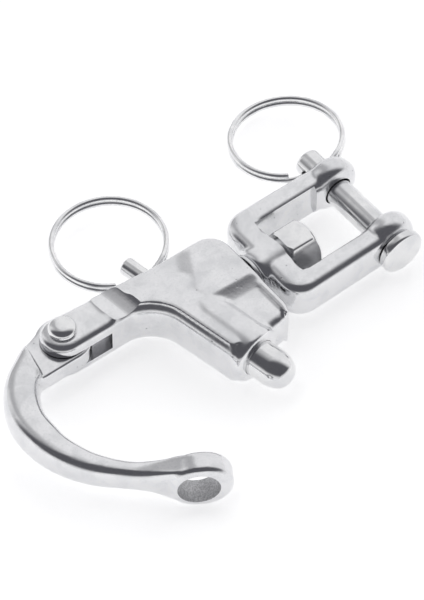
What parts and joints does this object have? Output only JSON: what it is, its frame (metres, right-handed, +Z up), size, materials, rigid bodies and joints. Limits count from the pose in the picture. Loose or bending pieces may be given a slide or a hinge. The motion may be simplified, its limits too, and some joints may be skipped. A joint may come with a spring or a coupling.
{
  "type": "swivel snap shackle",
  "caption": "Swivel snap shackle with a hinged hook, a spring plunger pulled by a split ring, and a swivelling fork with a ringed jaw pin.",
  "frame": {"origin": "on the swivel axis, at the middle of the jaw pin", "axes": "+X along the swivel axis from the hook to the fork, +Y along the jaw pin towards its ring (and towards the plunger's pull ring), +Z up from the surface the shackle lies on"},
  "size_m": [0.104, 0.0764, 0.013],
  "materials": {
    "cast_steel": "tumbled and polished stainless casting, satin",
    "turned_steel": "turned and polished stainless",
    "ring_wire": "bright drawn stainless wire",
    "spring_wire": "drawn stainless spring wire"
  },
  "bodies": {
    "body": {"body": "cast_steel", "pivot_rivet": "turned_steel", "swivel_bolt": "turned_steel", "swivel_washer": "turned_steel", "plunger_spring": "spring_wire"},
    "hook": {"hook": "cast_steel"},
    "plunger": {"plunger": "turned_steel"},
    "pull_ring": {"pull_ring": "ring_wire"},
    "fork": {"fork": "cast_steel"},
    "jaw_pin": {"jaw_pin": "turned_steel"},
    "jaw_ring": {"jaw_pin_ring": "ring_wire"}
  },
  "joints": [
    {"name": "hook_swing", "type": "hinge", "parent": "body", "child": "hook", "pos_m": [-0.069, 0.0098, 0], "axis": [0, 0, 1], "range_deg": [-100, 42.8]},
    {"name": "plunger_pull", "type": "slide", "parent": "body", "child": "plunger", "axis": [-0.1857, 0.9826, 0], "range_m": [0, 0.008], "stiffness_N_per_m": 1500, "springref_m": -0.006, "deforming": ["plunger_spring"]},
    {"name": "pull_ring_swing", "type": "hinge", "parent": "plunger", "child": "pull_ring", "pos_m": [-0.04574, 0.01326, 0], "axis": [0.9826, 0.1857, 0], "range_deg": [-57, 62]},
    {"name": "fork_swivel", "type": "hinge", "parent": "body", "child": "fork", "pos_m": [-0.025, 0, 0], "axis": [1, 0, 0], "continuous": true},
    {"name": "jaw_pin_spin", "type": "hinge", "parent": "fork", "child": "jaw_pin", "pos_m": [0, 0, 0], "axis": [0, 1, 0], "continuous": true},
    {"name": "jaw_ring_swing", "type": "hinge", "parent": "jaw_pin", "child": "jaw_ring", "pos_m": [0, 0.01345, 0], "axis": [1, 0, 0], "range_deg": [-48, 46]}
  ]
}
